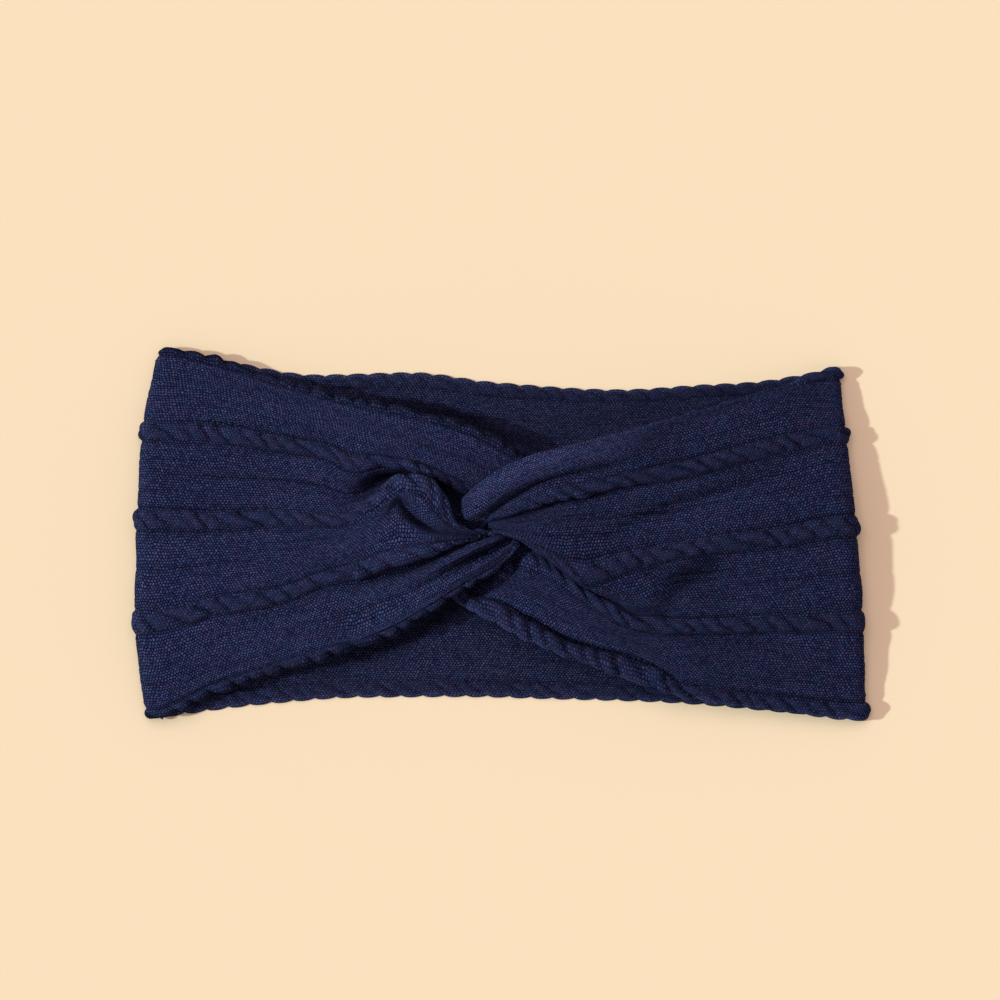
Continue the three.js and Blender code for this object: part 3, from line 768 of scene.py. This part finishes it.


# One half of the front as a grid of points, with the cloth's own u and v and the shade and highlight painted
# at each point.
def frontSurface(side, far, near):
    stations = np.linspace(0, 1, front["alongCount"])
    farV = sorted(far)
    lines, lengths, lineV = [], [], []
    for v, gathered in near.items():
        place = laidOut(side, v)
        spread = [smoothThrough(farV, [far[fv][k] for fv in farV], [place])[0] for k in range(3)]
        line = np.array(foldArc(side, place) + [tuple(p) for p in spread] + gathered, float)
        run = runLengths(line)
        lines.append(smoothThrough(run / run[-1], line, stations))
        lengths.append(run[-1])
        lineV.append(v)
    if "upper" in curl[side]:
        lineV[0] = curl[side]["upper"]
    if "lower" in curl[side]:
        lineV[-1] = knit["width"] - curl[side]["lower"]
    acrossV = acrossPlaces(front["acrossCount"])
    stacked = np.array(lines).reshape(len(lineV), -1)
    grid = smoothThrough(lineV, stacked, acrossV).reshape(front["acrossCount"], front["alongCount"], 3)
    grid = np.ascontiguousarray(grid.transpose(1, 0, 2))
    for edge, width in curl[side].items():
        curlEdge(grid, acrossV, edge, width)
    length = smoothThrough(lineV, lengths, acrossV)[:, 0]
    u = stations[:, None] * length[None, :]
    v = np.repeat(acrossV[None, :], front["alongCount"], axis=0)
    reachX, reachY = front["knotReach"]
    rise = np.exp(-((grid[..., 0] / reachX) ** 2) - ((grid[..., 1] / reachY) ** 2))
    grid[..., 2] += front["knotRise"] * rise
    upper = u > front["foldLength"]
    depth = np.where(upper, alongLines(grid, creases[side]), 0)
    # painted shade in the creases, less the painted highlights on the fold crests
    shade = creaseShade * depth - np.where(upper, alongLines(grid, paintedHighlights[side]), 0)
    grid[..., 2] -= depth
    grid[..., 2] = np.where(upper, np.maximum(grid[..., 2], front["lowest"]), grid[..., 2])
    # painted shade on the strip that curls under
    for edge, width in curl[side].items():
        shade += curl["shade"] * np.clip((pastCurl(v, edge, width) + 0.6) / 1.6, 0, 1)
    return grid, u, v, shade


# How far each point of a grid lies below the cloth round it, as a share of a deep hollow.
def hollows(grid):
    height = grid[..., 2]
    around = height.copy()
    for axis, reach in enumerate(front["hollowReach"]):
        margins = [(reach, reach) if axis == k else (0, 0) for k in range(2)]
        padded = np.pad(around, margins, mode="edge")
        total = np.cumsum(padded, axis=axis)
        last = np.take(total, range(2 * reach, total.shape[axis]), axis=axis)
        first = np.take(total, range(0, total.shape[axis] - 2 * reach), axis=axis)
        around = (last - first) / (2 * reach)
    below = (around - height - front["hollowFrom"]) / front["hollowDepth"]
    return np.clip(below, 0, 0.95) * (height > 2.5)


# Outer and inner faces of a cloth from its smooth surface: relief, edge scallops and thickness.
def clothFaces(grid, u, v, shade, lean, waveSeed):
    normal = gridNormals(grid)
    normal *= np.sign(np.median(normal[..., 2]))
    across = np.gradient(grid, axis=1)
    across /= np.maximum(np.linalg.norm(across, axis=2, keepdims=True), 1e-9)
    waves = looseWaves(u, v, waveSeed, front["waveDepth"])
    base = grid + normal * waves[..., None] + across * edgeScallop(u, v)[..., None]
    relief, crease, top = knitRelief(u, v, lean)
    relief *= 1 - front["foldCalm"] * bell(u - front["foldLength"] + 2, front["foldCalmReach"])
    toKnot = np.hypot(grid[..., 0], grid[..., 1])
    gathered = 1 - front["knotCalm"] * bell(toKnot, front["knotCalmReach"])
    relief, crease, top = relief * gathered, crease * gathered, top * gathered
    # painted shading in one mark: the knit's crevices, the cloth's hollows, the creases, the curled edges and
    # the painted highlights
    crease = np.clip(crease + front["hollowShade"] * hollows(grid) + shade, -1, 1)
    rolled = roundedEdge(v)
    half = knit["thickness"] / 2
    outer = base + normal * ((relief + half) * rolled - half)[..., None]
    inner = base - normal * (half + (half + front["innerRelief"] * relief) * rolled)[..., None]
    return outer, inner, (crease, top)


def makeFront(name, side, far, near, seed):
    grid, u, v, shade = frontSurface(side, far, near)
    lean = 1 if side == "left" else -1
    outer, inner, marks = clothFaces(grid, u, v, shade, lean, seed)
    outer[..., 2] = np.maximum(outer[..., 2], 0.0)
    inner[..., 2] = np.maximum(inner[..., 2], 0.05)
    length = float(u[-1].mean())
    return clothPiece(name, outer, inner, u, v, marks, faceMaterial), length


leftFront, leftLength = makeFront("leftFrontCloth", "left", leftFar, leftNear, 11)
rightFront, rightLength = makeFront("rightFrontCloth", "right", rightFar, rightNear, 12)
print("front halves made")

back = {
    "alongCount": 320,
    "acrossCount": 150,
    "length": 200.0,  # between the flat ends at the two side folds
    "upperEdge": [(-105, 56.8), (-83, 53.2), (-57, 49.2), (-27, 49.9), (-2, 46.9), (37, 44.6), (63, 46.1),
        (78, 46.9), (105, 51.4)],
    "lowerEdge": [(-109, -57.3), (-73, -52.6), (-43, -50.5), (-12, -50.3), (17, -51), (48, -51.9),
        (93, -55.6), (114, -57.6)],
    "waveDepth": 0.12,
    "rise": 0.55,  # height of the cloth's middle over the table
    "calm": 0.72,  # the inside of the knit shows, where its cables are flatter
    "endCalm": 0.7,  # how much flatter still it is at its ends, under the side folds
    "endCalmReach": 11.0,
    "reliefAbove": 0.75,
    "reliefBelow": 0.25,
    # painted shadow for each millimetre of the back's creases, where the front's edges overhang
    "creaseShade": 2.0,
}


def makeBack():
    alongCount, acrossCount = back["alongCount"], back["acrossCount"]
    acrossV = acrossPlaces(acrossCount)
    leftEnd = np.array([foldArc("left", v)[0] for v in acrossV])
    rightEnd = np.array([foldArc("right", v)[0] for v in acrossV])
    share = np.linspace(0, 1, alongCount)[:, None, None]
    grid = leftEnd[None] + (rightEnd - leftEnd)[None] * share
    upper = smoothThrough(*zip(*back["upperEdge"]), grid[:, 0, 0])
    lower = smoothThrough(*zip(*back["lowerEdge"]), grid[:, -1, 0])
    straight = (grid[:, :1, 1] - grid[:, :, 1]) / (grid[:, :1, 1] - grid[:, -1:, 1])
    grid[:, :, 1] = upper + (lower - upper) * straight
    u = grid[..., 0] - grid[:1, :, 0]
    v = np.repeat(acrossV[None, :], alongCount, axis=0)
    grid[..., 2] = back["rise"]
    normal = np.zeros_like(grid)
    normal[..., 2] = 1
    across = np.gradient(grid, axis=1)
    across /= np.linalg.norm(across, axis=2, keepdims=True)
    grid += across * edgeScallop(u, v)[..., None]
    waves = looseWaves(u, v, 13, back["waveDepth"])
    relief, crease, top = knitRelief(u, v, 1)
    relief, crease, top = relief * back["calm"], crease * back["calm"], top * back["calm"]
    depth = alongLines(grid, creases["back"])
    relief -= depth
    # painted shadow along the creases under the front's edges
    crease = np.clip(crease + back["creaseShade"] * depth, -1, 1)
    fromEnd = np.minimum(u, u[-1:] - u)
    relief *= 1 - back["endCalm"] * bell(fromEnd, back["endCalmReach"])
    rolled = roundedEdge(v)
    half = knit["thickness"] / 2
    inner = grid + normal * ((half + back["reliefAbove"] * relief + waves) * rolled)[..., None]
    outer = grid - normal * ((half + back["reliefBelow"] * relief) * rolled)[..., None]
    outer[..., 2] = np.maximum(outer[..., 2], 0.0)
    return clothPiece("backCloth", inner, outer, u, v, (crease, top), insideMaterial)


backCloth = makeBack()
print("back made")

loops = {
    "halfHeight": 1.6,
    "pleats": 9,
    "pleatDepth": 0.16,
    "left": [(-6, 23, 9.6, 5), (2, 19, 9.6, 5.4), (9, 13.4, 9.6, 6), (12.4, 5.4, 9.8, 6),
        (9.6, -1.6, 10, 4.8), (3.4, -4, 10.6, 3.6), (-3, -6.6, 11, 4.4)],
    "right": [(-1, 10.4, 13.4, 5.2), (-6.6, 7, 12, 4.4), (-9.6, 0.6, 9.6, 4.4), (-8.8, -8.6, 8.2, 4.6),
        (-3, -15.8, 6.6, 4.8), (7, -20.6, 6.2, 5.6)],
    "shade": 0.85,  # deep in the knot the gathered cloth catches hardly any light
}


# A bight of gathered cloth: a flat rope with pleats that run along it.
def makeLoop(name, stations):
    path = [row[:3] for row in stations]
    knots = runLengths(np.array(path, float))
    shares = knots / knots[-1]
    halfWidths = [[row[3]] for row in stations]

    def section(angle, share):
        halfWidth = smoothThrough(shares, halfWidths, [share])[0, 0]
        pleat = 1 + loops["pleatDepth"] * math.cos(loops["pleats"] * angle + 2.5 * math.sin(3 * share))
        return halfWidth * math.cos(angle) * pleat, loops["halfHeight"] * math.sin(angle) * pleat

    rope = tubePiece(name, path, section, 72, 90, faceMaterial)
    shade = rope.data.attributes.new("crease", "FLOAT", "POINT")
    shade.data.foreach_set("value", np.full(len(rope.data.vertices), loops["shade"]))
    return rope


leftLoop = makeLoop("leftKnotLoop", loops["left"])
rightLoop = makeLoop("rightKnotLoop", loops["right"])

seam = {
    "middle": (1.0, 1.0),
    "width": 7.0,
    "length": 46.0,
    "layers": 4,
    "bottom": 6.5,
    "layerStep": 0.58,
    "threadThick": 0.42,
    "threadPitch": 2.6,
}


# The four raw edges sewn together: four thin strips that ripple a little against each other.
def makeSeamAllowance():
    bm = bmesh.new()
    for layer in range(seam["layers"]):
        made = bmesh.ops.create_grid(bm, x_segments=8, y_segments=60, size=0.5)
        verts = made["verts"]
        faces = list({face for vert in verts for face in vert.link_faces})
        shell = bmesh.ops.solidify(bm, geom=faces, thickness=0.04)
        added = [item for item in shell["geom"] if isinstance(item, bmesh.types.BMVert)]
        for vert in set(verts) | set(added):
            x, y, z = vert.co
            ripple = 0.09 * math.sin(11 * y + 1.7 * layer) + 0.06 * math.sin(29 * y + layer)
            vert.co.x = seam["middle"][0] + x * (seam["width"] - 0.35 * layer) + ripple
            vert.co.y = seam["middle"][1] + y * (seam["length"] - 0.5 * layer)
            vert.co.z = seam["bottom"] + (layer + 0.2) * seam["layerStep"] + z * 9 + ripple * 0.5
            vert.co *= mm
    uvLayer = bm.loops.layers.uv.new("cloth")
    for face in bm.faces:
        for loop in face.loops:
            loop[uvLayer].uv = (loop.vert.co.y * 10, loop.vert.co.x * 10)
    return finishMesh("seamAllowance", meshFrom(bm, "seamAllowance"), insideMaterial)


# The overlock thread, wound over the raw edges.
def makeSeamThread():
    halfWide = seam["width"] / 2 + 0.35
    halfHigh = seam["layers"] * seam["layerStep"] / 2 + 0.3
    middleZ = seam["bottom"] + seam["layers"] * seam["layerStep"] / 2
    turns = int((seam["length"] - 3) / seam["threadPitch"])
    path = []
    for step in range(turns * 12 + 1):
        angle = 2 * math.pi * step / 12
        squareX, squareZ = (math.copysign(abs(c) ** 0.5, c) for c in (math.cos(angle), math.sin(angle)))
        y = seam["middle"][1] + (step / 12 - turns / 2) * seam["threadPitch"]
        path.append((seam["middle"][0] + halfWide * squareX, y, middleZ + halfHigh * squareZ))
    radius = seam["threadThick"] / 2

    def section(angle, share):
        return radius * math.cos(angle), radius * math.sin(angle)

    return tubePiece("seamThread", path, section, 8, turns * 24, threadMaterial)


seamAllowance = makeSeamAllowance()
seamThreadPiece = makeSeamThread()
print("knot made")

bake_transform(leftFront)
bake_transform(rightFront)
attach(backCloth, "back")
for piece in (leftLoop, rightLoop, seamAllowance, seamThreadPiece):
    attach(piece, "front")
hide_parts("left_wing", "left_side_fold")
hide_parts("right_wing", "right_side_fold")
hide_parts("back_panel")
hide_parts("left_knot_loop")
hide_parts("right_knot_loop")
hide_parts("knot_seam_allowance")
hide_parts("knot_seam_thread")

studio = {
    "floorColour": (0.832, 0.652, 0.449),
    "floorSize": 8.0,
    "suns": [  # name, strength, colour, direction it comes from, spread in degrees
        ("window", 2.7, (0.8, 1.0, 0.97), (-1.0, -0.03, 0.70), 3),
        ("softbox", 1.25, (1.0, 0.855, 0.875), (-0.1, 0.35, 1.0), 50),
    ],
    "skyStrength": 0.40,
    "skyColour": (1.0, 0.86, 0.88),
    "cameraPlace": (0.00016, 0.01055, 1.5),
    "viewWidth": 0.3102,  # width of floor that the camera takes in
    "sensorWidth": 36,
}


def makeFloor():
    bm = bmesh.new()
    bmesh.ops.create_grid(bm, x_segments=1, y_segments=1, size=studio["floorSize"])
    mesh = meshFrom(bm, "floor")
    material = bpy.data.materials.new("paleFloor")
    material.use_nodes = True
    matt = {"Base Color": studio["floorColour"], "Roughness": 1, "Specular IOR Level": 0}
    setInputs(material.node_tree.nodes["Principled BSDF"], matt)
    finishMesh("floor", mesh, material)


def makeLight():
    for name, strength, colour, comesFrom, spread in studio["suns"]:
        light = bpy.data.lights.new(name, "SUN")
        light.energy = strength
        light.color = colour
        light.angle = math.radians(spread)
        towards = Vector(comesFrom).to_track_quat("Z", "Y")
        addObject(name, light).rotation_euler = towards.to_euler()
    world = bpy.data.worlds.new("studio")
    world.use_nodes = True
    sky = {"Color": studio["skyColour"], "Strength": studio["skyStrength"]}
    setInputs(world.node_tree.nodes["Background"], sky)
    bpy.context.scene.world = world


def makeCamera():
    data = bpy.data.cameras.new("camera")
    data.sensor_width = studio["sensorWidth"]
    data.lens = studio["sensorWidth"] * studio["cameraPlace"][2] / studio["viewWidth"]
    data.clip_end = 10
    camera = addObject("camera", data)
    camera.location = studio["cameraPlace"]
    bpy.context.scene.camera = camera


makeFloor()
makeLight()
makeCamera()
bpy.context.scene.view_settings.view_transform = "Standard"
print("studio made")
